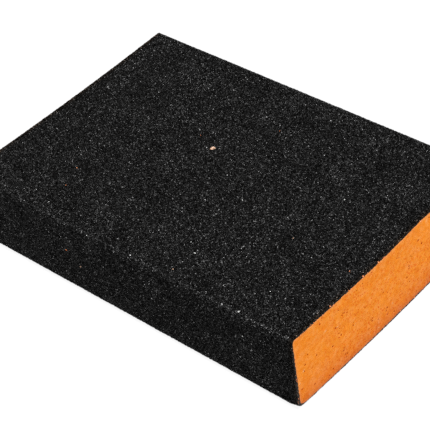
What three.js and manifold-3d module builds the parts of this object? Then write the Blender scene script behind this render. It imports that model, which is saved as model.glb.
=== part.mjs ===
// Foam sanding block: a foam core with an abrasive coat on its four long faces.
//
// Millimetres, +Z up. +X runs along the length, +Y across the width. The origin is the
// centre of the block's box, at the level of its underside.
//
// Foam is coated in a long strip and then sliced into blocks, so the four long faces
// carry a coat and the two cut ends are bare. The slice bows the same way at both ends:
// the +X end bulges out and the -X end is hollow. Each coat is a binder film on the foam
// and a layer of grit on the film, and neighbouring coats meet on a mitre through the
// middle of the rounded edge between them.

import * as THREE from "three";
import { mergeVertices } from "three/addons/utils/BufferGeometryUtils.js";
import Module from "manifold-3d";

const wasm = await Module();
wasm.setup();

// Driving dimensions
const LENGTH = 100; // along the long edges, from cut to cut
const WIDTH = 70; // over the side coats
const THICKNESS = 21.4; // over the top and bottom coats
const END_BULGE = 0.5; // the middle of the +X end stands out this far
const END_HOLLOW = 0.7; // the middle of the -X end lies in this far
const EDGE_RADIUS = 1.5; // of the long edges, outside the grit
const BINDER_THICKNESS = 0.15;
const GRIT_THICKNESS = 0.3;

// Fineness of the faceted curves
const END_SEGMENTS = 12;
const EDGE_SEGMENTS = 6;

// Worked out from the driving dimensions
const HALF_WIDTH = WIDTH / 2;
const HALF_THICKNESS = THICKNESS / 2;
const BOX_LENGTH = LENGTH + END_BULGE;
const COAT_THICKNESS = BINDER_THICKNESS + GRIT_THICKNESS;
const MITRE_ANGLE = Math.PI / 4;
const QUARTER_TURN = Math.PI / 2;
const OVERLENGTH = 10; // the strip is this much longer than the block before it is sliced

const foam = new THREE.MeshStandardMaterial({ color: 0xee8d33, roughness: 0.95, metalness: 0 });
const binder = new THREE.MeshStandardMaterial({ color: 0x191817, roughness: 0.55, metalness: 0 });
const grit = new THREE.MeshStandardMaterial({ color: 0x252526, roughness: 0.45, metalness: 0 });

function solidFrom(geometry) {
  const bare = geometry.clone().deleteAttribute("normal").deleteAttribute("uv");
  const merged = mergeVertices(bare, 1e-4);
  const mesh = new wasm.Mesh({
    numProp: 3,
    vertProperties: new Float32Array(merged.attributes.position.array),
    triVerts: new Uint32Array(merged.index.array),
  });
  return new wasm.Manifold(mesh);
}

function geometryFrom(solid) {
  const { numProp, vertProperties, triVerts } = solid.getMesh();
  const points = new Float32Array((vertProperties.length / numProp) * 3);
  for (let i = 0; i < points.length / 3; i += 1) {
    points.set(vertProperties.subarray(i * numProp, i * numProp + 3), i * 3);
  }
  const geometry = new THREE.BufferGeometry();
  geometry.setAttribute("position", new THREE.BufferAttribute(points, 3));
  geometry.setIndex(new THREE.BufferAttribute(new Uint32Array(triVerts), 1));
  const faceted = geometry.toNonIndexed();
  faceted.computeVertexNormals();
  return faceted;
}

// Arc of the given rise over the block's width: its radius and half of its angle.
function sliceArc(rise) {
  const radius = (HALF_WIDTH ** 2 + rise ** 2) / (2 * rise);
  return { radius, halfAngle: Math.asin(HALF_WIDTH / radius) };
}

// What the two slices leave of the strip, as an upright prism with bowed ends.
function blockBetweenSlices() {
  const front = BOX_LENGTH / 2 - END_BULGE;
  const back = front - LENGTH;
  const bulge = sliceArc(END_BULGE);
  const hollow = sliceArc(END_HOLLOW);
  const outline = new THREE.Shape();
  outline.absarc(
    front + END_BULGE - bulge.radius, 0, bulge.radius, -bulge.halfAngle, bulge.halfAngle, false,
  );
  outline.absarc(
    back + END_HOLLOW - hollow.radius, 0, hollow.radius, hollow.halfAngle, -hollow.halfAngle, true,
  );
  const prism = new THREE.ExtrudeGeometry(outline, {
    depth: THICKNESS + 2 * OVERLENGTH,
    bevelEnabled: false,
    curveSegments: END_SEGMENTS,
  });
  prism.translate(0, 0, -OVERLENGTH);
  return solidFrom(prism);
}

const sliced = blockBetweenSlices();

// A section drawn across the block, with its centre at 0, 0, as a strip along the block
// that is turned about the block's long axis by some quarter turns and sliced to length.
function slicedStrip(section, quarterTurns) {
  const strip = new THREE.ExtrudeGeometry(section, {
    depth: BOX_LENGTH + 2 * OVERLENGTH,
    bevelEnabled: false,
    curveSegments: EDGE_SEGMENTS,
  });
  strip.translate(0, 0, -BOX_LENGTH / 2 - OVERLENGTH);
  strip.applyMatrix4(
    new THREE.Matrix4().makeBasis(
      new THREE.Vector3(0, 1, 0),
      new THREE.Vector3(0, 0, 1),
      new THREE.Vector3(1, 0, 0),
    ),
  );
  strip.rotateX(quarterTurns * QUARTER_TURN);
  strip.translate(0, 0, HALF_THICKNESS);
  return geometryFrom(solidFrom(strip).intersect(sliced));
}

// The foam's rounded rectangle, inside the coats.
function foamSection() {
  const across = HALF_WIDTH - EDGE_RADIUS;
  const up = HALF_THICKNESS - EDGE_RADIUS;
  const radius = EDGE_RADIUS - COAT_THICKNESS;
  const section = new THREE.Shape();
  section.absarc(across, up, radius, 0, QUARTER_TURN, false);
  section.absarc(-across, up, radius, QUARTER_TURN, 2 * QUARTER_TURN, false);
  section.absarc(-across, -up, radius, 2 * QUARTER_TURN, 3 * QUARTER_TURN, false);
  section.absarc(across, -up, radius, 3 * QUARTER_TURN, 4 * QUARTER_TURN, false);
  return section;
}

// One layer over a face whose middle is halfHeight above the block's axis, from inner to
// outer millimetres below the grit's surface, with a mitre at each rounded edge.
function layerSection(halfSpan, halfHeight, outer, inner) {
  const across = halfSpan - EDGE_RADIUS;
  const up = halfHeight - EDGE_RADIUS;
  const right = QUARTER_TURN - MITRE_ANGLE;
  const left = QUARTER_TURN + MITRE_ANGLE;
  const section = new THREE.Shape();
  section.absarc(across, up, EDGE_RADIUS - outer, right, QUARTER_TURN, false);
  section.absarc(-across, up, EDGE_RADIUS - outer, QUARTER_TURN, left, false);
  section.absarc(-across, up, EDGE_RADIUS - inner, left, QUARTER_TURN, true);
  section.absarc(across, up, EDGE_RADIUS - inner, QUARTER_TURN, right, true);
  return section;
}

function piece(name, geometry, material) {
  const mesh = new THREE.Mesh(geometry, material);
  mesh.name = name;
  return mesh;
}

// The binder film and the grit of one coated face.
function coat(side) {
  const film = layerSection(side.halfSpan, side.halfHeight, GRIT_THICKNESS, COAT_THICKNESS);
  const grains = layerSection(side.halfSpan, side.halfHeight, 0, GRIT_THICKNESS);
  const group = new THREE.Group();
  group.add(piece(`${side.name}_binder_coat`, slicedStrip(film, side.quarterTurns), binder));
  group.add(piece(`${side.name}_grit_layer`, slicedStrip(grains, side.quarterTurns), grit));
  return group;
}

const coatedSides = [
  { name: "top", halfSpan: HALF_WIDTH, halfHeight: HALF_THICKNESS, quarterTurns: 0 },
  { name: "front", halfSpan: HALF_THICKNESS, halfHeight: HALF_WIDTH, quarterTurns: 1 },
  { name: "bottom", halfSpan: HALF_WIDTH, halfHeight: HALF_THICKNESS, quarterTurns: 2 },
  { name: "back", halfSpan: HALF_THICKNESS, halfHeight: HALF_WIDTH, quarterTurns: 3 },
];

const sandingBlock = new THREE.Group();
sandingBlock.add(piece("foam_core", slicedStrip(foamSection(), 0), foam));
for (const side of coatedSides) {
  sandingBlock.add(coat(side));
}

export default sandingBlock;
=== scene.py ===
"""Looks of the foam sanding block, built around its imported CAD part.

An orange foam body is cut from a strip whose four long faces are coated: a resin film on
the foam, and a layer of black grit in the film. Each grit layer is a sheet of separate
wedge-shaped grains, each cut end of the foam is a relief of cells and pores, and the film
between them has the ragged inner edge of resin that soaked into the foam.
Everything is in metres, in the part's own frame.
"""

import math

import bmesh
import bpy
import numpy as np
from mathutils import Matrix, Vector
from mathutils.geometry import delaunay_2d_cdt


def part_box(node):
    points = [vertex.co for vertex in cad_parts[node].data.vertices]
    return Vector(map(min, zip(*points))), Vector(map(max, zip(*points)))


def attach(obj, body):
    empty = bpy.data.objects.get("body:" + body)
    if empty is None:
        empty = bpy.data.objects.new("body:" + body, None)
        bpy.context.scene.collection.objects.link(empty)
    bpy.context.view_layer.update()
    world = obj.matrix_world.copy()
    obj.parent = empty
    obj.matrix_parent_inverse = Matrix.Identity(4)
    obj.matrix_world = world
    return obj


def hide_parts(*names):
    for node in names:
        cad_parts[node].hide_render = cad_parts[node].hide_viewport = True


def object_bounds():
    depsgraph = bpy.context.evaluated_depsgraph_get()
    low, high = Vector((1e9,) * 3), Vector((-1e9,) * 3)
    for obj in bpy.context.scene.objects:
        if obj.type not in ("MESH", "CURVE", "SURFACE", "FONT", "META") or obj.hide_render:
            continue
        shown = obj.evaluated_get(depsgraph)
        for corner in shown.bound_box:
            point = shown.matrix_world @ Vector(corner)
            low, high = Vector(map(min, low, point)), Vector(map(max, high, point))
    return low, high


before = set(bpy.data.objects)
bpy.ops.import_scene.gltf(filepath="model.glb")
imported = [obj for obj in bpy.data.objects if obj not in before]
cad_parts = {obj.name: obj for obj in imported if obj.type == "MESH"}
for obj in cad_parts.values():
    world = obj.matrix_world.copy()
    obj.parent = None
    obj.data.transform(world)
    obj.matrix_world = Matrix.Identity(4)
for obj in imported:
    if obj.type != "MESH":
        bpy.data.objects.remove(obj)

MM = 0.001
SEED = 40

# The camera stands so close that both ends of the block run out of the frame.
LENS_MM = 135
SENSOR_MM = 36
CAMERA_AZIMUTH = 45.72
CAMERA_ELEVATION = 40.61
CAMERA_ROLL = -7.78
CAMERA_DISTANCE = 367.6 * MM
AIM = (10.35 * MM, -13.43 * MM)  # the point of the top face in the middle of the frame

# Small bits that lie on the coats: the face, the place on it (x and y on the top, x and z on
# the front) and the lift over it in millimetres, the length, how flat it is, and its turn
# about the vertical in degrees
FOAM_CRUMBS = (
    ("top", -28.7, -19.0, 0.00, 0.32, 0.5, 20),
    ("top", -26.4, -25.1, -0.02, 0.20, 0.6, 75),
    ("front", -18.7, 12.0, 0.00, 0.32, 0.7, 0),
    ("top", 46.9, -11.1, 0.00, 0.30, 0.5, 110),
    ("top", 3.3, 18.9, -0.02, 0.20, 0.6, 30),
    ("top", -11.8, 7.0, -0.02, 0.20, 0.6, 140),
)
PALE_GRAINS = (
    ("top", -5.8, 4.7, 0.10, 1.25, 0.5, 42),
    ("top", 14.4, -32.5, 0.00, 0.34, 0.7, 30),
    ("top", 30.1, -9.6, -0.02, 0.30, 0.7, 100),
    ("front", -14.6, 8.8, 0.00, 0.30, 0.7, 0),
)
# Pale grey grains on the coats: painted glints.
PAINTED_GLINT_GRAINS = (
    ("top", 34.9, -34.3, -0.20, 0.50, 0.7, 70),
    ("top", 15.0, -25.8, 0.00, 0.42, 0.7, 20),
    ("top", 12.2, -5.9, 0.00, 0.34, 0.7, 120),
    ("top", 31.7, 7.2, 0.00, 0.34, 0.7, 60),
    ("top", 36.7, -25.8, 0.00, 0.30, 0.7, 10),
    ("front", 35.8, 14.9, 0.00, 0.30, 0.7, 0),
    ("top", -25.4, -31.8, 0.00, 0.32, 0.7, 50),
    ("top", -10.1, -34.9, -0.60, 0.22, 0.7, 15),
    ("top", 11.9, -23.5, 0.00, 0.30, 0.7, 80),
    ("top", 10.3, -13.0, 0.00, 0.28, 0.7, 130),
    ("top", -14.4, -18.0, 0.00, 0.28, 0.7, 35),
)
BIT_WIDTH = 0.6  # of its length
BIT_ROUGH = (0.55, 1.3)  # how far in and out the points of a bit lie

# Tufts of foam torn along the cuts
TUFTS_PER_MM = 0.55
TUFT_LEAST = (0.14, 0.4, 0)  # length in millimetres, flatness and turn
TUFT_MOST = (0.36, 0.8, 180)
TUFT_INSET = (0.30 * MM, 0.62 * MM)  # below the grit's surface
TUFT_OUT = 0.04  # millimetres that its middle stands out of the cut
EDGE_TUFTS = (-22.0, -10.7, -5.2)  # y of the larger tufts on the top edge at +X
EDGE_TUFT_LENGTH = (0.30, 0.42)
EDGE_TUFT_FLATNESS = 0.8
EDGE_TUFT_INSET = 0.4  # of the grit's thickness below its surface

# Grains of the abrasive
GRAIN_SPACING = 0.40 * MM
GRAIN_OFF_GRID = 0.34  # of the spacing
FOOT_OFF_GRID = 0.30
GRAIN_HALF_RIDGE = 0.07 * MM
RIDGE_SPREAD = (0.55, 1.35)
GRAIN_CORNERS = (0.80, 0.18, 0.02)  # shares of grains that end in a point, a ridge, a facet
GRAIN_TOP = (0.72, 1.02)  # lowest and highest grain tops, as shares of the layer's thickness
CORNER_DROP = (0.78, 1.0)  # height of each corner of a grain, as a share of the grain's
GRAIN_FOOT = (0.03, 0.34)  # the resin between grains
CLUMPS = (0.10, 2.2 * MM)  # grains stand higher and lower together: how much, over what size
SWAY = (0.06, 9 * MM)
TALLEST = 1.05
SUNK_SHARE = 0.10  # of the grains lie deep in the resin
SUNK_TOP = (0.2, 0.5)
RIM_SPACING = GRAIN_SPACING * 0.6  # of the points along the cuts and the long edges
RIM_OFF_STEP = 0.3
RIM_HEIGHT = (0.66, 1.05)
RIM_CLEAR = 0.12 * MM  # no grain stands closer to the outline
CUT_RAGGED = 0.06 * MM
RAGGED_SPREAD = (-0.2, 1)
WEAR_AND_HIGHLIGHT_REACH = 1.1 * MM  # over which the wear and painted highlight of a rounded edge fade into the flat
WEAR_AND_HIGHLIGHT_AT_ENDS = (0.25, 0.75)  # how worn, and how strong the painted highlight is, along the rounded edges by the -X cut and by the +X cut
WEAR_AND_HIGHLIGHT_PATCH = 5 * MM
WEAR_AND_HIGHLIGHT_MIDDLE = 0.55  # of the patches, which run from a tenth to all of the wear and painted highlight
WEAR_AND_HIGHLIGHT_SPREAD = (0.2, 1.0)  # least and most at random, from point to point
STAIN_REACH = 1.0 * MM  # of the brown resin that the knife smeared over the grains by a cut
STAIN_FULL = 0.3  # of the reach, by the cut, over which the stain doesn't fade yet
STAIN_SPREAD = (0.4, 1)

# The bottom coat, worn back behind the foam at each cut
UNDERCUT = 0.28 * MM
LEAST_UNDERCUT = 0.12  # share of it that is left at the back; it is all there by the front edge
UNDERCUT_FADE = 2.0 * MM  # the stretch by each long edge over which it goes
UNDERCUT_WAVES = (1.1 * MM, 2.7 * MM)
WAVE_SHARE = 0.2

# Resin that soaks into the foam from the film
SOAK = (-0.08 * MM, 0.16 * MM)  # least and most at random
SOAK_WAVES = (1.3 * MM, 0.3 * MM)
SOAK_FINE = 0.35  # of the waves' height, changing from step to step
SOAK_FADE = (0.0, 0.18 * MM, 0.45 * MM)  # distances from the cut over which it fades
THINNEST_FILM = 0.03 * MM
LEAST_FOAM_RADIUS = 0.15 * MM
SOAK_CORNER = 2.0 * MM  # the stretch by a corner over which the soak goes to the corner's own
# Extra soak at each end: at the four corners from top/front round to back/top, and on each
# side from its low end to its high end, in millimetres.
SOAK_CORNERS = {1: (-0.10, 0.60, 0.10, -0.10), -1: (-0.05, 0.10, 0.30, -0.15)}
SOAK_SIDES = {
    1: ((0.15, -0.08), (0.50, -0.05), (0.02, 0.08), (0.0, 0.05)),
    -1: ((0.0, 0.10), (0.05, 0.0), (0.15, -0.10), (0.0, 0.20)),
}

# Foam of the cut ends
FOAM_STEP = 0.18 * MM
OFF_STEP = 0.36  # of the step
OUTLINE_GAP = 0.5  # of the step, kept free inside the foam's outline
CELL_SIZE = 0.42 * MM
CELL_DEPTH = 0.045 * MM
CELL_SPREAD = (0.75, 1.0)
WALL_SLOPE = 1.6  # how steeply the wall between two cells falls off
HOLLOWS = ((0.03 * MM, 1.4 * MM), (0.02 * MM, 6 * MM))  # depth and size of the slow relief
PORES_PER_END = 116
PORE_RADIUS = (0.09 * MM, 0.26 * MM)
PORE_SKEW = 1.3  # above 1, small pores outnumber large ones
PORE_RINGS = (  # radius, points, depth
    (0.0, 1, 1.0),
    (0.55, 6, 0.95),
    (1.0, 10, 0.6),
    (1.35, 12, 0.0),
)
PORE_STRETCH = (0.8, 1.25)
PORE_ROUGH = (0.9, 1.1)
PORE_APART = 1.4  # of the sum of two pores' radii
PORE_MARGIN = (1.0 * MM, 1.2 * MM)  # of the field over which pores are drawn, across and up
PORE_CLEAR = 0.8 * MM  # no pore has its centre closer to the film's outside
PORE_FIELD = 1.5  # radii round a pore that only its own points take up
PORE_GAP = 0.3  # of the step, kept free beyond that
TWIN_PORES = 0.25  # share of pores that open beside another one
TWIN_GAP = 0.75 * MM
PORE_DEPTH = 0.16 * MM
TEARS_PER_END = 12
TEAR_LENGTH = (0.25, 0.6)
TEAR_STRENGTH = (0.3, 0.8)
TEAR_HALF_WIDTH = 0.16 * MM
TEAR_HEIGHT = 0.09 * MM
TEAR_END = 1.2  # half lengths and half widths at which a tear has faded out
STREAKS = ((-32.1, 10.0, 0.45), (-33.6, 7.4, 0.35))  # y, z and length of pale tears at +X
STREAK_LEAN = math.radians(40)
RIM_HIGHLIGHT_REACH = 0.7 * MM  # how far in from its outline the cut foam is paler: a painted highlight along the edge
SHADE_AND_GRIME_HEIGHT = 9 * MM  # above the floor, over which the cut foam goes from darker and pinker to its own colour: painted shade near the floor, with some grime

# Dents of the +X end: the place as shares of half the width and of the thickness, how far the
# dent reaches, and how deep it is pressed in, in millimetres
DENTS = (
    ((-1, 0), 3.2, (-0.38, 0.30, 0.58)),  # the lower front corner, worn round
    ((0.31, 1), 22.0, (-0.38, 0, 0)),  # the upper edge, where the knife came in further back
)

# Studio
FLOOR_HALF = 1.5
FLOOR_GAP = 0.03 * MM  # under the block
FLOOR_GLOW = 0.92
LAMP_PLACE = (60, 80)  # azimuth and elevation
LAMP_DISTANCE = 0.9
LAMP_SIZE = 0.2
LAMP_WATTS = 8.6
ROOM_LIGHT = (0.11, 0.71)  # of the world on the dark side and on the bright side
ROOM_SIDE = (0.5, 0.5, 0)  # towards the bright side
ROOM_SPREAD = 0.5  # along that, from the middle to the full bright or dark
HORIZON = (0.09, 0.16)  # heights between which the pale band gives way to the room
HORIZON_LIGHT = 0.95


# ---------------------------------------------------------------- sizes from the frame

cad_low, cad_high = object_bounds()
front_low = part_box("front_grit_layer")[0]
film_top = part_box("top_binder_coat")[1].z
foam_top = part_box("foam_core")[1].z
HALF_WIDTH = cad_high.y
HALF_THICKNESS = cad_high.z / 2
GRIT = cad_high.z - film_top
FILM = film_top - foam_top
COAT = GRIT + FILM
EDGE_RADIUS = front_low.z / (1 - math.sqrt(0.5))


def cut_profile(sign):
    """The cut end as x = a + b y^2, fitted through the CAD core's own corners there."""
    points = np.array([v.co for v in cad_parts["foam_core"].data.vertices])
    points = points[points[:, 0] * sign > 0]
    square, flat = np.polyfit(points[:, 1] ** 2, points[:, 0], 1)
    return flat, square


CUTS = {sign: cut_profile(sign) for sign in (-1, 1)}


def cut_x(sign, y):
    flat, square = CUTS[sign]
    return flat + square * y * y


class Side:
    """One coated face, seen square on: s runs across it from mitre to mitre."""

    def __init__(self, name, quarter_turns, half_span, half_height):
        self.name = name
        self.turns = quarter_turns
        self.flat = half_span - EDGE_RADIUS
        self.half_height = half_height
        self.reach = self.flat + EDGE_RADIUS * math.pi / 4
        self.undercut = UNDERCUT if name == "bottom" else 0

    def place(self, s, inset):
        """World y and z of points that lie inset below the grit's surface."""
        over = np.clip(np.abs(s) - self.flat, 0, None) / EDGE_RADIUS
        radius = EDGE_RADIUS - inset
        across = np.clip(s, -self.flat, self.flat) + np.sign(s) * radius * np.sin(over)
        up = self.half_height - EDGE_RADIUS + radius * np.cos(over)
        c, d = [(1, 0), (0, 1), (-1, 0), (0, -1)][self.turns]
        return across * c - up * d, across * d + up * c + HALF_THICKNESS

    def points(self, along, s, inset, worn=1):
        """World points; along is 0 at the -X cut and 1 at the +X cut."""
        y, z = self.place(s, inset)
        short, long = UNDERCUT_WAVES
        waves = 1 - WAVE_SHARE * (1 - np.sin(s / short) * np.sin(s / long + 1))
        share = np.clip(s / self.reach, LEAST_UNDERCUT, 1)
        share = share * np.clip((self.reach - np.abs(s)) / UNDERCUT_FADE, 0, 1)
        back = self.undercut * worn * waves * share
        x = (cut_x(-1, y) + back) * (1 - along) + (cut_x(1, y) - back) * along
        return np.stack([x, y, z], 1)


SIDES = [
    Side("top", 0, HALF_WIDTH, HALF_THICKNESS),
    Side("front", 1, HALF_THICKNESS, HALF_WIDTH),
    Side("bottom", 2, HALF_WIDTH, HALF_THICKNESS),
    Side("back", 3, HALF_THICKNESS, HALF_WIDTH),
]
LENGTH = cad_high.x - cad_low.x


def pressed(points):
    """Points of the block with its dents pressed in."""
    for (across, up), reach, press in DENTS:
        y = across * HALF_WIDTH
        gap = np.linalg.norm(points - [cut_x(1, y), y, up * cad_high.z], axis=1)
        share = np.clip(1 - gap / (reach * MM), 0, 1) ** 2
        points = points + share[:, None] * np.array(press) * MM
    return points


# ---------------------------------------------------------------- random fields

def smooth_noise(rng, u, v, size):
    """Random values from -1 to 1 on a lattice of that size, blended smoothly between."""
    u = (u - u.min()) / size
    v = (v - v.min()) / size
    lattice = rng.uniform(-1, 1, (int(u.max()) + 2, int(v.max()) + 2))
    i, j = u.astype(int), v.astype(int)
    fu, fv = u - i, v - j
    fu, fv = fu * fu * (3 - 2 * fu), fv * fv * (3 - 2 * fv)
    low = lattice[i, j] * (1 - fu) + lattice[i + 1, j] * fu
    high = lattice[i, j + 1] * (1 - fu) + lattice[i + 1, j + 1] * fu
    return low * (1 - fv) + high * fv


def cell_walls(rng, u, v, size):
    """0 in the middle of each random cell, 1 on the wall between two cells."""
    u = (u - u.min()) / size + 1
    v = (v - v.min()) / size + 1
    seeds = rng.uniform(0.05, 0.95, (int(u.max()) + 3, int(v.max()) + 3, 2))
    i, j = u.astype(int), v.astype(int)
    nearest = np.full(len(u), np.inf)
    second = np.full(len(u), np.inf)
    for di in (-1, 0, 1):
        for dj in (-1, 0, 1):
            seed = seeds[i + di, j + dj]
            distance = np.hypot(i + di + seed[:, 0] - u, j + dj + seed[:, 1] - v)
            second = np.minimum(second, np.maximum(distance, nearest))
            nearest = np.minimum(nearest, distance)
    return np.clip(1 - (second - nearest) * WALL_SLOPE, 0, 1)


# ---------------------------------------------------------------- meshes

def mesh_object(name, points, face_groups, smooth=False):
    """An object from points and groups of faces; a group is an array, one face a row."""
    corners = np.concatenate([np.asarray(g, np.int32).ravel() for g in face_groups])
    totals = np.concatenate([np.full(len(g), np.shape(g)[1]) for g in face_groups])
    starts = np.concatenate([[0], np.cumsum(totals)[:-1]])
    mesh = bpy.data.meshes.new(name)
    mesh.vertices.add(len(points))
    mesh.vertices.foreach_set("co", np.asarray(points, np.float32).ravel())
    mesh.loops.add(len(corners))
    mesh.loops.foreach_set("vertex_index", corners)
    mesh.polygons.add(len(totals))
    mesh.polygons.foreach_set("loop_start", starts.astype(np.int32))
    mesh.polygons.foreach_set("use_smooth", np.full(len(totals), smooth))
    mesh.update(calc_edges=True)
    mesh.validate()
    piece = bpy.data.objects.new(name, mesh)
    bpy.context.scene.collection.objects.link(piece)
    return piece


def triangles_between(points, ring_size):
    """Triangles over flat points whose first ring_size form the closed outline, in order."""
    outline = [(i, (i + 1) % ring_size) for i in range(ring_size)]
    only_inside = 1
    merge_distance = 1e-9
    flat = [Vector(point) for point in points]
    found = delaunay_2d_cdt(flat, outline, [], only_inside, merge_distance)
    assert len(found[0]) == len(points), "two points of the outline fell together"
    faces = np.array(found[2])
    a, b, c = (points[faces[:, k]] for k in range(3))
    turn = (b[:, 0] - a[:, 0]) * (c[:, 1] - a[:, 1]) - (b[:, 1] - a[:, 1]) * (c[:, 0] - a[:, 0])
    faces[turn < 0] = faces[turn < 0][:, ::-1]
    return faces


def set_attribute(piece, name, domain, values):
    attribute = piece.data.attributes.new(name, "FLOAT", domain)
    attribute.data.foreach_set("value", np.asarray(values, np.float32))


# ---------------------------------------------------------------- grit

edge_rng = np.random.default_rng(SEED)
EDGE_COUNT = round(LENGTH / RIM_SPACING)


def mitre_row():
    """Where the grit's outline meets its neighbour's along one rounded edge."""
    along = np.linspace(0, 1, EDGE_COUNT + 1)
    along[1:-1] += edge_rng.uniform(-RIM_OFF_STEP, RIM_OFF_STEP, EDGE_COUNT - 1) / EDGE_COUNT
    return along, edge_rng.uniform(*RIM_HEIGHT, EDGE_COUNT + 1)


MITRES = [mitre_row() for _ in SIDES]


def grain_points(rng, span):
    """Flat points of the grains and the resin between them: place, height share, grain."""
    columns, rows = round(LENGTH / GRAIN_SPACING), round(span / GRAIN_SPACING)
    i, j = (g.ravel() for g in np.meshgrid(np.arange(columns), np.arange(rows), indexing="ij"))
    count = len(i)
    cell = np.array([LENGTH / columns, span / rows])
    grid = np.stack([i, j], 1)
    centre = (grid + 0.5 + rng.uniform(-GRAIN_OFF_GRID, GRAIN_OFF_GRID, (count, 2))) * cell
    foot = (grid + rng.uniform(-FOOT_OFF_GRID, FOOT_OFF_GRID, (count, 2))) * cell
    foot_height = rng.uniform(*GRAIN_FOOT, count)
    clump, sway = (
        height * smooth_noise(rng, centre[:, 0], centre[:, 1], size)
        for height, size in (CLUMPS, SWAY)
    )
    top = rng.uniform(*GRAIN_TOP, count) + clump + sway
    sunk = rng.random(count) < SUNK_SHARE
    top[sunk] = rng.uniform(*SUNK_TOP, sunk.sum())
    turn = rng.uniform(0, 2 * math.pi, count)
    ridge = GRAIN_HALF_RIDGE * rng.uniform(*RIDGE_SPREAD, count)
    points, heights, grains = [foot], [foot_height], [np.full(count, -1)]
    corners = rng.choice((1, 2, 3), count, p=GRAIN_CORNERS)
    for k in range(3):
        has = corners > k
        around = turn + k * 2 * math.pi / np.maximum(corners, 2)
        reach = np.where(corners == 1, 0, ridge)
        offset = np.stack([np.cos(around), np.sin(around)], 1) * reach[:, None]
        points.append((centre + offset)[has])
        heights.append((top * rng.uniform(*CORNER_DROP, count))[has])
        grains.append(np.arange(count)[has])
    points, heights, grains = map(np.concatenate, (points, heights, grains))
    inside = ((points > RIM_CLEAR) & (points < np.array([LENGTH, span]) - RIM_CLEAR)).all(1)
    heights = np.clip(heights[inside], GRAIN_FOOT[0], TALLEST)
    return points[inside], heights, grains[inside], count


def grit_layer(index):
    """The grains of one coated face: their tops, both raw cut edges, and the underside."""
    side = SIDES[index]
    rng = np.random.default_rng(SEED + 1 + index)
    span = 2 * side.reach
    low_along, low_height = MITRES[index]
    high_along, high_height = MITRES[index - 1]
    rows = round(span / RIM_SPACING)
    steps = np.linspace(0, span, rows + 1)[1:-1]
    steps = steps + rng.uniform(-RIM_OFF_STEP, RIM_OFF_STEP, rows - 1) * span / rows
    flat = [
        np.stack([low_along * LENGTH, np.zeros(EDGE_COUNT + 1)], 1),
        np.stack([np.full(rows - 1, LENGTH), steps], 1),
        np.stack([high_along * LENGTH, np.full(EDGE_COUNT + 1, span)], 1)[::-1],
        np.stack([np.zeros(rows - 1), steps], 1)[::-1],
    ]
    outline = np.concatenate(flat)
    outline_height = np.concatenate([
        low_height,
        rng.uniform(*RIM_HEIGHT, rows - 1),
        high_height[::-1],
        rng.uniform(*RIM_HEIGHT, rows - 1),
    ])
    points, heights, grains, count = grain_points(rng, span)
    ring = len(outline)
    points = np.concatenate([outline, points])
    heights = np.concatenate([outline_height, heights])
    grains = np.concatenate([rng.integers(0, count, ring), grains])
    tops = triangles_between(points / MM, ring)

    surface = side.points(points[:, 0] / LENGTH, points[:, 1] - side.reach, GRIT * (1 - heights))
    at_low, at_high = points[:, 0] == 0, points[:, 0] == LENGTH
    surface[at_low, 0] += rng.uniform(*RAGGED_SPREAD, at_low.sum()) * CUT_RAGGED
    surface[at_high, 0] -= rng.uniform(*RAGGED_SPREAD, at_high.sum()) * CUT_RAGGED

    corner = [0, EDGE_COUNT, EDGE_COUNT + rows, 2 * EDGE_COUNT + rows]
    cut_high = np.arange(corner[1], corner[2] + 1)
    cut_low = np.append(np.arange(corner[3], ring), 0)[::-1]
    base = len(points)
    under_low, under_high = base + np.arange(rows + 1), base + rows + 1 + np.arange(rows + 1)
    s_low, s_high = (points[cut, 1] - side.reach for cut in (cut_low, cut_high))
    under = np.concatenate([
        side.points(np.zeros(rows + 1), s_low, GRIT),
        side.points(np.ones(rows + 1), s_high, GRIT),
    ])
    groups = [
        tops,
        np.stack([cut_high[:-1], under_high[:-1], under_high[1:], cut_high[1:]], 1),
        np.stack([cut_low[:-1], cut_low[1:], under_low[1:], under_low[:-1]], 1),
        np.stack([under_low[:-1], under_low[1:], under_high[1:], under_high[:-1]], 1),
        [np.concatenate([np.arange(EDGE_COUNT, -1, -1), [under_low[0], under_high[0]]])],
        [np.concatenate([np.arange(corner[3], corner[2] - 1, -1), [under_high[-1], under_low[-1]]])],
    ]
    piece = mesh_object(side.name + "_grit", pressed(np.concatenate([surface, under])), groups)
    tone = rng.random(count + 1)
    highest = tops[np.arange(len(tops)), np.argmax(heights[tops], 1)]
    owner = grains[highest]
    values = np.zeros(len(piece.data.polygons))
    values[:len(tops)] = tone[owner]
    set_attribute(piece, "grain", "FACE", values)
    set_attribute(piece, "facet", "FACE", rng.random(len(values)))
    under_zeros = np.zeros(len(under))
    set_attribute(piece, "height", "POINT", np.concatenate([heights, under_zeros]))
    # Worn share: wear and a painted highlight along the rounded edges.
    worn = edge_wear_and_highlight(rng, points, span)
    set_attribute(piece, "worn", "POINT", np.concatenate([worn, under_zeros]))
    stain = cut_stain(rng, points)
    set_attribute(piece, "stain", "POINT", np.concatenate([stain, under_zeros]))
    return piece


def edge_wear_and_highlight(rng, points, span):
    """How far the coat near the two rounded long edges is paler, in uneven patches: partly wear,
    partly a painted highlight.
    """
    from_edge = np.minimum(points[:, 1], span - points[:, 1])
    near = np.clip(1 - from_edge / WEAR_AND_HIGHLIGHT_REACH, 0, 1)
    noise = smooth_noise(rng, points[:, 0], points[:, 1], WEAR_AND_HIGHLIGHT_PATCH)
    patches = WEAR_AND_HIGHLIGHT_MIDDLE + (1 - WEAR_AND_HIGHLIGHT_MIDDLE) * noise
    uneven = rng.uniform(*WEAR_AND_HIGHLIGHT_SPREAD, len(points))
    along = WEAR_AND_HIGHLIGHT_AT_ENDS[0] + (WEAR_AND_HIGHLIGHT_AT_ENDS[1] - WEAR_AND_HIGHLIGHT_AT_ENDS[0]) * points[:, 0] / LENGTH
    return near * patches * uneven * along


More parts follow.
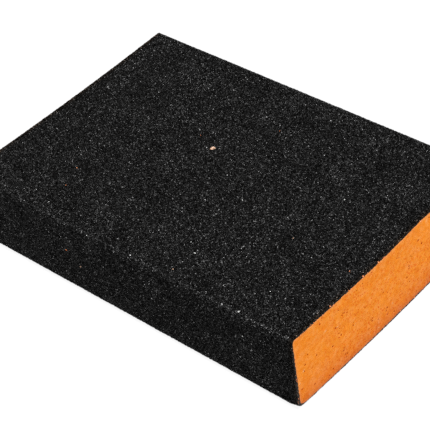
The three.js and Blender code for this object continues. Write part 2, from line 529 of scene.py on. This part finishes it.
def cut_stain(rng, points):
    """How brown the coat near the two cuts is, uneven from point to point."""
    from_cut = np.minimum(points[:, 0], LENGTH - points[:, 0])
    near = np.clip(1 + STAIN_FULL - from_cut / STAIN_REACH, 0, 1)
    return near * rng.uniform(*STAIN_SPREAD, len(points))


# ---------------------------------------------------------------- resin film and foam

soak_rng = np.random.default_rng(SEED + 20)


def soak_row(index, sign, count):
    """How far the resin soaks in beyond the film, at each step across one side."""
    steps = np.arange(count + 1) * FOAM_STEP
    zero = np.zeros(count + 1)
    waves = [smooth_noise(soak_rng, steps, zero, size) for size in SOAK_WAVES]
    wave = sum(waves) / len(waves)
    fine = soak_rng.uniform(-SOAK_FINE, SOAK_FINE, count + 1)
    depth = np.interp(np.clip(wave + fine, -1, 1), [-1, 1], SOAK)
    low, high = SOAK_SIDES[sign][index]
    corners = SOAK_CORNERS[sign]
    stops = [0, SOAK_CORNER, steps[-1] - SOAK_CORNER, steps[-1]]
    depth += np.interp(steps, stops, [corners[index], low, high, corners[index - 1]]) * MM
    return np.clip(depth, THINNEST_FILM - FILM, EDGE_RADIUS - COAT - LEAST_FOAM_RADIUS)


class Soak:
    """The film's ragged inner edge, which the foam's outline follows exactly."""

    def __init__(self):
        self.counts = [round(2 * side.reach / FOAM_STEP) for side in SIDES]
        self.rows = {
            sign: [soak_row(index, sign, count) for index, count in enumerate(self.counts)]
            for sign in (-1, 1)
        }
        for rows in self.rows.values():
            for index, row in enumerate(rows):
                row[-1] = rows[index - 1][0]

    def ring(self, index, sign, station):
        """Points of one side's inner edge, station steps away from that cut."""
        side = SIDES[index]
        s = np.linspace(-side.reach, side.reach, self.counts[index] + 1)
        fade = 1 - SOAK_FADE[station] / SOAK_FADE[-1]
        inset = COAT + self.rows[sign][index] * fade
        along = np.full(len(s), float(sign > 0))
        points = side.points(along, s, inset, worn=0)
        points[:, 0] -= sign * SOAK_FADE[station]
        return points


soak = Soak()


def binder_film(index):
    """One coated face's film: rings of points along the foam and back under the grit."""
    side = SIDES[index]
    count = soak.counts[index] + 1
    s = np.linspace(-side.reach, side.reach, count)
    rings = [soak.ring(index, -1, k) for k in range(3)]
    rings += [soak.ring(index, 1, k) for k in (2, 1, 0)]
    rings.append(side.points(np.ones(count), s, GRIT))
    rings.append(side.points(np.zeros(count), s, GRIT))
    groups = []
    for k in range(len(rings)):
        here = k * count + np.arange(count)
        after = (k + 1) % len(rings) * count + np.arange(count)
        groups.append(np.stack([here[:-1], here[1:], after[1:], after[:-1]], 1))
    for row, order in ((0, 1), (count - 1, -1)):
        groups.append([[k * count + row for k in range(len(rings))][::order]])
    return mesh_object(side.name + "_binder", pressed(np.concatenate(rings)), groups)


def foam_outline(sign, station):
    """The foam's outline at one cut, once round: top, back, bottom, front."""
    order = (0, 3, 2, 1)
    return np.concatenate([soak.ring(index, sign, station)[:-1] for index in order])


def pore_points(rng, half_y, half_z):
    """Rings of points round each open pore, their depth shares, and the pores' own circles."""
    half = np.array([half_y, half_z])
    centres = rng.uniform(-1, 1, (PORES_PER_END, 2)) * (half - PORE_MARGIN)
    for index in range(1, PORES_PER_END):
        if rng.random() < TWIN_PORES:
            away = rng.uniform(0, 2 * math.pi)
            beside = np.array([math.cos(away), math.sin(away)]) * TWIN_GAP
            centres[index] = centres[index - 1] + beside
    radii = np.interp(rng.random(PORES_PER_END) ** PORE_SKEW, [0, 1], PORE_RADIUS)
    inside = (np.abs(centres) < half - PORE_CLEAR).all(1)
    apart = [
        all(
            np.hypot(*(centres[i] - centres[j])) > PORE_APART * (radii[i] + radii[j])
            for j in range(i)
        )
        for i in range(PORES_PER_END)
    ]
    kept = inside & apart
    centres, radii = centres[kept] + [0, HALF_THICKNESS], radii[kept]
    points, shares = [], []
    for centre, radius in zip(centres, radii):
        stretch = rng.uniform(*PORE_STRETCH)
        for reach, count, share in PORE_RINGS:
            around = np.arange(count) * 2 * math.pi / count + rng.uniform(0, 1)
            reaches = radius * reach * rng.uniform(*PORE_ROUGH, count)
            ring = np.stack([np.cos(around) * stretch, np.sin(around) / stretch], 1)
            points.append(centre + ring * reaches[:, None])
            shares.append(np.full(count, share))
    return np.concatenate(points), np.concatenate(shares), centres, radii


def cut_relief(rng, y, z, streaks):
    """How far the cut foam lies behind its cut plane, and its torn share."""
    walls = cell_walls(rng, y, z, CELL_SIZE)
    depth = CELL_DEPTH * (1 - walls) * rng.uniform(*CELL_SPREAD, len(y))
    for height, size in HOLLOWS:
        depth += height * smooth_noise(rng, y, z, size)
    tears = [
        (
            rng.uniform(y.min() + MM, y.max() - MM),
            rng.uniform(z.min() + MM, z.max() - MM),
            rng.uniform(*TEAR_LENGTH) * MM,
            rng.uniform(0, math.pi),
            rng.uniform(*TEAR_STRENGTH),
        )
        for _ in range(TEARS_PER_END)
    ]
    tears += [(cy * MM, cz * MM, size * MM, STREAK_LEAN, 1) for cy, cz, size in streaks]
    torn = np.zeros(len(y))
    for cy, cz, size, lean, strength in tears:
        run = (y - cy) * math.cos(lean) + (z - cz) * math.sin(lean)
        off = (z - cz) * math.cos(lean) - (y - cy) * math.sin(lean)
        share = np.clip(TEAR_END - np.hypot(run / size, off / TEAR_HALF_WIDTH), 0, 1)
        torn = np.maximum(torn, share * strength)
    return depth - TEAR_HEIGHT * torn, torn


def cut_end(sign, half_y, half_z):
    """One cut end of the foam: its points, its triangles, and the pore, torn and painted
    rim-highlight shares.
    """
    rng = np.random.default_rng(SEED + 30 + sign)
    outline = foam_outline(sign, 0)
    ring = len(outline)
    ys = np.arange(-half_y, half_y, FOAM_STEP)
    zs = np.arange(-half_z, half_z, FOAM_STEP) + HALF_THICKNESS
    grid = np.stack([g.ravel() for g in np.meshgrid(ys, zs)], 1)
    grid += rng.uniform(-OFF_STEP, OFF_STEP, grid.shape) * FOAM_STEP
    rim_highlights, shares, centres, radii = pore_points(rng, half_y, half_z)
    clear = [
        np.hypot(*(grid - centre).T) > PORE_FIELD * radius + PORE_GAP * FOAM_STEP
        for centre, radius in zip(centres, radii)
    ]
    grid = grid[np.all(clear, 0)]
    gap = nearest_gap(grid, outline[:, 1:])
    grid = grid[(gap > OUTLINE_GAP * FOAM_STEP) & inside_outline(grid, outline[:, 1:])]
    flat = np.concatenate([outline[:, 1:], grid, rim_highlights])
    # Share of the painted highlight along the outline.
    rim_highlight = np.clip(1 - nearest_gap(flat, outline[:, 1:]) / RIM_HIGHLIGHT_REACH, 0, 1)
    faces = triangles_between(flat / MM, ring)
    pore = np.concatenate([np.zeros(ring + len(grid)), shares])
    depth, torn = cut_relief(rng, flat[:, 0], flat[:, 1], STREAKS if sign > 0 else ())
    depth[:ring] = 0
    x = cut_x(sign, flat[:, 0]) - sign * (depth + PORE_DEPTH * pore)
    return np.column_stack([x, flat]), faces if sign > 0 else faces[:, ::-1], pore, torn, rim_highlight


def nearest_gap(points, spots):
    """How far each point is from the nearest of some spots."""
    gap = np.full(len(points), np.inf)
    for spot in spots:
        np.minimum(gap, np.hypot(points[:, 0] - spot[0], points[:, 1] - spot[1]), out=gap)
    return gap


def inside_outline(points, outline):
    """Whether each point lies inside the closed outline."""
    inside = np.zeros(len(points), bool)
    for (ay, az), (by, bz) in zip(outline, np.roll(outline, -1, 0)):
        crosses = (points[:, 1] < az) != (points[:, 1] < bz)
        if not crosses.any():
            continue
        at = ay + (points[:, 1] - az) * (by - ay) / (bz - az)
        inside ^= crosses & (points[:, 0] < at)
    return inside


def foam_body():
    """The foam: two cut ends in relief, joined by the sides that the film covers."""
    ring = len(foam_outline(1, 0))
    half_y, half_z = HALF_WIDTH - GRIT, HALF_THICKNESS - GRIT
    points, groups, pores, torn, rim_highlights = [], [], [], [], []
    total = 0
    outlines = {}
    for sign in (-1, 1):
        end_points, faces, pore, tear, rim_highlight = cut_end(sign, half_y, half_z)
        points.append(end_points)
        groups.append(faces + total)
        pores.append(pore)
        torn.append(tear)
        rim_highlights.append(rim_highlight)
        outlines[sign] = total + np.arange(ring)
        total += len(end_points)
    belts = [outlines[-1]]
    for sign, station in ((-1, 1), (-1, 2), (1, 2), (1, 1)):
        points.append(foam_outline(sign, station))
        belts.append(total + np.arange(ring))
        total += ring
    belts.append(outlines[1])
    for here, after in zip(belts[:-1], belts[1:]):
        groups.append(np.stack([here, after, np.roll(after, -1), np.roll(here, -1)], 1))
    piece = mesh_object("foam_body", pressed(np.concatenate(points)), groups, smooth=True)
    hidden = np.zeros(4 * ring)
    set_attribute(piece, "pore", "POINT", np.concatenate([*pores, hidden]))
    set_attribute(piece, "torn", "POINT", np.concatenate([*torn, hidden]))
    set_attribute(piece, "rim_highlight", "POINT", np.concatenate([*rim_highlights, hidden]))
    return piece


# ---------------------------------------------------------------- loose bits

def on_faces(bits):
    """Places of small bits that lie on the top or on the front, for lumps."""
    places = []
    for face, x, second, lift, length, flatness, turn in bits:
        if face == "top":
            centre = (x, second, cad_high.z / MM + lift)
        else:
            centre = (x, cad_low.y / MM - lift, second)
        places.append((centre, length, flatness, turn))
    return places


def lumps(name, seed, places):
    """Small ragged bits: each place is a centre, a length, a flattening and a turn."""
    rng = np.random.default_rng(seed)
    shape = bmesh.new()
    for centre, size, flatten, degrees in places:
        made = bmesh.ops.create_icosphere(shape, subdivisions=2, radius=size / 2 * MM)
        turn = Matrix.Rotation(math.radians(degrees), 3, "Z")
        for vertex in made["verts"]:
            stretched = Vector((vertex.co.x, vertex.co.y * BIT_WIDTH, vertex.co.z * flatten))
            vertex.co = turn @ stretched * rng.uniform(*BIT_ROUGH) + Vector(centre) * MM
    mesh = bpy.data.meshes.new(name)
    shape.to_mesh(mesh)
    shape.free()
    piece = bpy.data.objects.new(name, mesh)
    bpy.context.scene.collection.objects.link(piece)
    return piece


def torn_tufts():
    """Tufts of foam that the knife dragged over the coat along the cuts."""
    rng = np.random.default_rng(SEED + 50)
    places = []
    for sign in (-1, 1):
        for side in SIDES:
            count = round(TUFTS_PER_MM * 2 * side.reach / MM)
            s = rng.uniform(-side.reach, side.reach, count)
            inset = rng.uniform(*TUFT_INSET, count)
            centres = pressed(side.points(np.full(count, float(sign > 0)), s, inset))
            for centre in centres / MM:
                size, flatten, turn = rng.uniform(TUFT_LEAST, TUFT_MOST)
                places.append((centre + [sign * TUFT_OUT, 0, 0], size, flatten, turn))
    for y in EDGE_TUFTS:
        place = (cut_x(1, y * MM) / MM, y, (cad_high.z - EDGE_TUFT_INSET * GRIT) / MM)
        size = rng.uniform(*EDGE_TUFT_LENGTH)
        places.append((place, size, EDGE_TUFT_FLATNESS, rng.uniform(0, 180)))
    return places


# ---------------------------------------------------------------- materials

class Nodes:
    """A material's node tree, with the few links that every material here needs."""

    def __init__(self, name):
        self.material = bpy.data.materials.new(name)
        self.material.use_nodes = True
        self.tree = self.material.node_tree
        self.shader = self.tree.nodes["Principled BSDF"]
        self.place = self.add("ShaderNodeTexCoord").outputs["Object"]

    def add(self, kind, **settings):
        node = self.tree.nodes.new(kind)
        for key, value in settings.items():
            setattr(node, key, value)
        return node

    def link(self, source, target):
        self.tree.links.new(source, target)

    def noise(self, size, detail=2.0, rough=0.5):
        node = self.add("ShaderNodeTexNoise")
        node.inputs["Scale"].default_value = 1 / size
        node.inputs["Detail"].default_value = detail
        node.inputs["Roughness"].default_value = rough
        self.link(self.place, node.inputs["Vector"])
        return node.outputs["Fac"]

    def cells(self, size, output="Distance"):
        node = self.add("ShaderNodeTexVoronoi")
        node.inputs["Scale"].default_value = 1 / size
        self.link(self.place, node.inputs["Vector"])
        return node.outputs[output]

    def cell_random(self, size):
        """A random number from 0 to 1 for each cell."""
        split = self.add("ShaderNodeSeparateColor")
        self.link(self.cells(size, output="Color"), split.inputs[0])
        return split.outputs["Red"]

    def attribute(self, name):
        return self.add("ShaderNodeAttribute", attribute_name=name).outputs["Fac"]

    def ramp(self, value, stops):
        """Colours, or grey numbers, along a value: stops are pairs of place and colour."""
        node = self.add("ShaderNodeValToRGB")
        elements = node.color_ramp.elements
        while len(elements) < len(stops):
            elements.new(0.5)
        for element, (place, colour) in zip(elements, stops):
            element.position = place
            grey = isinstance(colour, (int, float))
            element.color = (colour, colour, colour, 1) if grey else (*colour, 1)
        self.link(value, node.inputs["Fac"])
        return node.outputs["Color"]

    def mix(self, share, a, b, blend="MIX"):
        node = self.add("ShaderNodeMix", data_type="RGBA", blend_type=blend)
        for value, socket in ((share, node.inputs[0]), (a, node.inputs[6]), (b, node.inputs[7])):
            if isinstance(value, bpy.types.NodeSocket):
                self.link(value, socket)
            elif isinstance(value, tuple):
                socket.default_value = (*value, 1)
            else:
                socket.default_value = value
        return node.outputs[2]

    def math(self, operation, a, b):
        node = self.add("ShaderNodeMath", operation=operation)
        for value, socket in ((a, node.inputs[0]), (b, node.inputs[1])):
            if isinstance(value, bpy.types.NodeSocket):
                self.link(value, socket)
            else:
                socket.default_value = value
        return node.outputs[0]

    def bump(self, height, distance, strength=1.0, after=None):
        node = self.add("ShaderNodeBump")
        node.inputs["Strength"].default_value = strength
        node.inputs["Distance"].default_value = distance
        self.link(height, node.inputs["Height"])
        if after is not None:
            self.link(after, node.inputs["Normal"])
        return node.outputs["Normal"]

    def finish(self, colour, roughness, normal=None, **constants):
        self.link(colour, self.shader.inputs["Base Color"])
        self.link(roughness, self.shader.inputs["Roughness"])
        if normal is not None:
            self.link(normal, self.shader.inputs["Normal"])
        for key, value in constants.items():
            self.shader.inputs[key.replace("_", " ")].default_value = value
        return self.material


def grit_material():
    """Near-black mineral grains in dark resin, with painted glints, painted shade low between them,
    paler along the rounded edges where worn and painted as a highlight, and browner by the cuts.
    """
    n = Nodes("abrasive_grit")
    height = n.attribute("height")
    # Chips of random tone; the palest few are painted glints.
    chip_tone_and_glint = n.ramp(n.cell_random(0.14 * MM), [
        (0.0, 0.0006),
        (0.4, 0.0048),
        (0.7, 0.0165),
        (0.88, 0.038),
        (0.97, 0.072),
        (1.0, 0.24),
    ])
    # Each facet's brightness differs at random: painted glints and reflections off the facets.
    facet = n.ramp(n.attribute("facet"), [
        (0.0, 0.12),
        (0.3, 0.48),
        (0.6, 1.0),
        (0.85, 1.65),
        (1.0, 3.0),
    ])
    chip_and_facet_glints = n.mix(1.0, chip_tone_and_glint, facet, "MULTIPLY")
    tone = n.ramp(n.attribute("grain"), [(0.0, 0.5), (0.6, 1.0), (1.0, 1.8)])
    chipped = n.mix(1.0, chip_and_facet_glints, tone, "MULTIPLY")
    dust = n.ramp(n.noise(7 * MM, 3), [(0.35, 0.75), (0.7, 1.2)])
    dusty = n.mix(1.0, chipped, dust, "MULTIPLY")
    # Paler along the rounded edges: partly wear, partly a painted highlight where the edges catch
    # the light.
    wear_and_highlight = n.ramp(n.attribute("worn"), [(0.0, 1.0), (1.0, 4.0)])
    worn = n.mix(1.0, dusty, wear_and_highlight, "MULTIPLY")
    stain = n.ramp(n.attribute("stain"), [(0.0, (1.0, 1.0, 1.0)), (1.0, (1.1, 0.72, 0.44))])
    stained = n.mix(1.0, worn, stain, "MULTIPLY")
    # Darker the lower a point lies between the grains: painted shade in the crevices, over the dark
    # resin of the feet.
    sunk = n.ramp(height, [(0.1, 1.0), (0.55, 0.0)])
    colour = n.mix(sunk, stained, (0.0016, 0.0013, 0.0011))
    roughness = n.ramp(n.cell_random(0.33 * MM), [(0.0, 0.55), (0.6, 0.30), (1.0, 0.14)])
    normal = n.bump(n.cells(0.24 * MM), 0.08 * MM, 0.7)
    return n.finish(colour, roughness, normal, Specular_IOR_Level=0.02)


def resin_material():
    """Cured dark resin: brown-black, with small cut grains in it, dusty where it was cut."""
    n = Nodes("binder_resin")
    chips = n.ramp(n.cell_random(0.16 * MM), [
        (0.0, (0.003, 0.002, 0.0015)),
        (0.5, (0.014, 0.007, 0.004)),
        (0.85, (0.045, 0.024, 0.013)),
        (1.0, (0.16, 0.13, 0.11)),
    ])
    streak = n.ramp(n.noise(0.5 * MM, 3), [(0.3, 0.5), (0.7, 1.4)])
    colour = n.mix(1.0, chips, streak, "MULTIPLY")
    roughness = n.ramp(n.noise(0.3 * MM), [(0.3, 0.4), (0.7, 0.7)])
    normal = n.bump(n.noise(0.25 * MM, 3), 0.06 * MM)
    return n.finish(colour, roughness, normal, Specular_IOR_Level=0.08)


def foam_material():
    """Fine-celled orange foam: soft blotches, redder little cells, pores painted dark red-brown as
    shade, a painted highlight round the cut's outline, and painted shade with some grime near the
    floor.
    """
    n = Nodes("foam")
    mottle = n.noise(1.2 * MM, 3)
    base = n.ramp(mottle, [
        (0.30, (0.86, 0.224, 0.010)),
        (0.50, (0.915, 0.267, 0.016)),
        (0.70, (0.95, 0.309, 0.035)),
    ])
    blotches = n.ramp(n.noise(5 * MM, 2), [(0.35, (0.975, 0.94, 0.86)), (0.65, (1.01, 1.03, 1.10))])
    blotched = n.mix(1.0, base, blotches, "MULTIPLY")
    chalky = n.ramp(n.noise(2.4 * MM, 6, 0.7), [(0.45, 0.0), (0.75, 0.55)])
    dry = n.mix(chalky, blotched, (0.93, 0.35, 0.10))
    walls = n.ramp(n.cells(0.40 * MM), [(0.0, (0.93, 0.76, 0.36)), (0.55, (1.02, 1.06, 1.18))])
    walled = n.mix(0.7, dry, walls, "MULTIPLY")
    near = n.ramp(n.cells(0.62 * MM), [(0.24, 1.0), (0.46, 0.0)])
    chosen = n.ramp(n.cell_random(0.62 * MM), [(0.5, 0.0), (1.0, 1.0)])
    dotted = n.mix(n.mix(1.0, near, chosen, "MULTIPLY"), walled, (0.78, 0.125, 0.001))
    # Paler round the cut's outline: a painted highlight along the edge.
    rim_highlight = n.ramp(n.attribute("rim_highlight"), [(0.0, 0.0), (1.0, 0.32)])
    rim_highlighted = n.mix(rim_highlight, dotted, (0.90, 0.40, 0.17))
    place = n.add("ShaderNodeSeparateXYZ")
    n.link(n.place, place.inputs[0])
    # Darker and pinker towards the floor: painted shade, with some grime.
    height = n.math("MULTIPLY", place.outputs["Z"], 1 / SHADE_AND_GRIME_HEIGHT)
    ragged_shade_height = n.math("ADD", height, n.math("MULTIPLY", n.noise(2.5 * MM, 2), 0.06))
    floor_shade_and_grime = n.ramp(ragged_shade_height, [
        (0.075, (0.42, 0.26, 0.30)),
        (0.105, (0.72, 0.58, 0.75)),
        (0.16, (0.80, 0.66, 0.85)),
        (0.28, (0.89, 0.77, 0.95)),
        (0.53, (0.95, 0.89, 0.98)),
        (1.00, (1.0, 1.0, 1.0)),
    ])
    shaded_and_grimy = n.mix(1.0, rim_highlighted, floor_shade_and_grime, "MULTIPLY")
    torn = n.mix(n.attribute("torn"), shaded_and_grimy, (0.92, 0.56, 0.28))
    # Pores painted dark red-brown: painted shade inside them, deeper than their shallow pits give.
    pore_shade = n.ramp(n.attribute("pore"), [(0.15, 0.0), (0.7, 1.0)])
    colour = n.mix(pore_shade, torn, (0.45, 0.044, 0.003))
    roughness = n.ramp(mottle, [(0.3, 0.82), (0.7, 0.95)])
    fine = n.bump(n.cells(0.17 * MM), 0.05 * MM, 0.18)
    normal = n.bump(n.noise(0.6 * MM, 2), 0.08 * MM, 0.3, after=fine)
    return n.finish(colour, roughness, normal, Specular_IOR_Level=0.1)


def crumb_material():
    """Torn foam: the same orange, paler and pinker where it has dried out."""
    n = Nodes("foam_crumbs")
    colour = n.ramp(n.noise(0.6 * MM, 2), [(0.35, (0.80, 0.20, 0.05)), (0.65, (0.86, 0.42, 0.24))])
    roughness = n.ramp(n.noise(0.2 * MM), [(0.3, 0.8), (0.7, 0.95)])
    normal = n.bump(n.noise(0.12 * MM, 2), 0.04 * MM)
    return n.finish(colour, roughness, normal, Specular_IOR_Level=0.1)


def mineral_material(name, dark, pale, smoothest, roughest):
    """Single grains that differ from the black ones, in two kinds: tan mineral grains, and pale grey
    ones that are painted glints.
    """
    n = Nodes(name)
    colour = n.ramp(n.noise(0.2 * MM, 3), [(0.3, dark), (0.7, pale)])
    roughness = n.ramp(n.noise(0.1 * MM), [(0.3, smoothest), (0.7, roughest)])
    return n.finish(colour, roughness)


def floor_material():
    """Translucent white sheet with soft light coming through it, as on a light table."""
    n = Nodes("floor_sheet")
    colour = n.ramp(n.noise(60 * MM, 2), [(0.3, 0.075), (0.7, 0.085)])
    roughness = n.ramp(n.noise(5 * MM), [(0.3, 0.85), (0.7, 0.95)])
    return n.finish(
        colour, roughness, Specular_IOR_Level=0.1,
        Emission_Color=(1, 1, 1, 1), Emission_Strength=FLOOR_GLOW,
    )


# ---------------------------------------------------------------- camera, floor and light

def direction(azimuth, elevation):
    """Unit vector towards a place at that azimuth and elevation, in degrees."""
    a, e = math.radians(azimuth), math.radians(elevation)
    return Vector((math.sin(a) * math.cos(e), -math.cos(a) * math.cos(e), math.sin(e)))


def camera():
    data = bpy.data.cameras.new("camera")
    data.lens = LENS_MM
    data.sensor_width = SENSOR_MM
    data.clip_start = 0.01
    viewer = bpy.data.objects.new("camera", data)
    bpy.context.scene.collection.objects.link(viewer)
    bpy.context.scene.camera = viewer
    back = direction(CAMERA_AZIMUTH, CAMERA_ELEVATION)
    a = math.radians(CAMERA_AZIMUTH)
    right = Vector((math.cos(a), math.sin(a), 0))
    level = Matrix((right, back.cross(right), back)).transposed()
    turned = Matrix.Rotation(math.radians(CAMERA_ROLL), 3, back) @ level
    aim = Vector((*AIM, cad_high.z))
    viewer.matrix_world = Matrix.Translation(aim + back * CAMERA_DISTANCE) @ turned.to_4x4()


def overhead_lamp():
    """The one lamp, almost straight above."""
    data = bpy.data.lights.new("overhead", "AREA")
    data.shape = "SQUARE"
    data.size = LAMP_SIZE
    data.energy = LAMP_WATTS
    light = bpy.data.objects.new("overhead", data)
    bpy.context.scene.collection.objects.link(light)
    towards = direction(*LAMP_PLACE)
    light.location = towards * LAMP_DISTANCE
    light.rotation_mode = "QUATERNION"
    light.rotation_quaternion = towards.to_track_quat("Z", "Y")


def studio():
    """The glowing floor, the room light and the lamp."""
    level = cad_low.z - FLOOR_GAP
    quarters = ((-1, -1), (1, -1), (1, 1), (-1, 1))
    corners = [(x * FLOOR_HALF, y * FLOOR_HALF, level) for x, y in quarters]
    floor = mesh_object("floor", corners, [[[0, 1, 2, 3]]])
    floor.data.materials.append(floor_material())
    studio_world()
    overhead_lamp()
    bpy.context.scene.view_settings.view_transform = "Standard"
    bpy.context.scene.cycles.use_denoising = False  # it takes the fine grain for noise


def studio_world():
    """Room light, brighter from the right and behind, with a pale band round the horizon."""
    world = bpy.data.worlds.new("studio")
    world.use_nodes = True
    nodes, links = world.node_tree.nodes, world.node_tree.links
    place = nodes.new("ShaderNodeTexCoord")
    side = nodes.new("ShaderNodeVectorMath")
    side.operation = "DOT_PRODUCT"
    side.inputs[1].default_value = ROOM_SIDE
    level = nodes.new("ShaderNodeMapRange")
    level.inputs["From Min"].default_value = -ROOM_SPREAD
    level.inputs["From Max"].default_value = ROOM_SPREAD
    level.inputs["To Min"].default_value, level.inputs["To Max"].default_value = ROOM_LIGHT
    split = nodes.new("ShaderNodeSeparateXYZ")
    band = nodes.new("ShaderNodeMapRange")
    band.inputs["From Min"].default_value, band.inputs["From Max"].default_value = HORIZON
    mix = nodes.new("ShaderNodeMix")
    mix.data_type = "RGBA"
    mix.inputs[6].default_value = (HORIZON_LIGHT, HORIZON_LIGHT, HORIZON_LIGHT, 1)
    links.new(place.outputs["Generated"], side.inputs[0])
    links.new(side.outputs["Value"], level.inputs["Value"])
    links.new(place.outputs["Generated"], split.inputs[0])
    links.new(split.outputs["Z"], band.inputs["Value"])
    links.new(band.outputs["Result"], mix.inputs[0])
    links.new(level.outputs["Result"], mix.inputs[7])
    links.new(mix.outputs[2], nodes["Background"].inputs["Color"])
    bpy.context.scene.world = world


# ---------------------------------------------------------------- the block

def loose_piece(name, seed, places, material):
    piece = lumps(name, seed, places)
    piece.data.materials.append(material)
    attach(piece, "root")


def build():
    foam = foam_material()
    crumbs = [*on_faces(FOAM_CRUMBS), *torn_tufts()]
    loose_piece("foam_crumbs", SEED + 51, crumbs, crumb_material())
    pale = mineral_material("pale_grain", (0.55, 0.32, 0.20), (0.78, 0.52, 0.36), 0.3, 0.6)
    loose_piece("pale_grains", SEED + 52, on_faces(PALE_GRAINS), pale)
    # Pale grey grains: painted glints on the grit.
    clear = mineral_material("painted_glint_grain", (0.45, 0.46, 0.44), (0.90, 0.91, 0.88), 0.15, 0.4)
    loose_piece("painted_glint_grains", SEED + 53, on_faces(PAINTED_GLINT_GRAINS), clear)
    resin = resin_material()
    grit = grit_material()
    body = foam_body()
    body.data.materials.append(foam)
    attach(body, "root")
    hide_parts("foam_core")
    for index, side in enumerate(SIDES):
        for piece, material, node, slot in (
            (binder_film(index), resin, side.name + "_binder_coat", "binder_resin"),
            (grit_layer(index), grit, side.name + "_grit_layer", "abrasive_grit"),
        ):
            piece.data.materials.append(material)
            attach(piece, "root")
            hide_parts(node)


camera()
studio()
build()
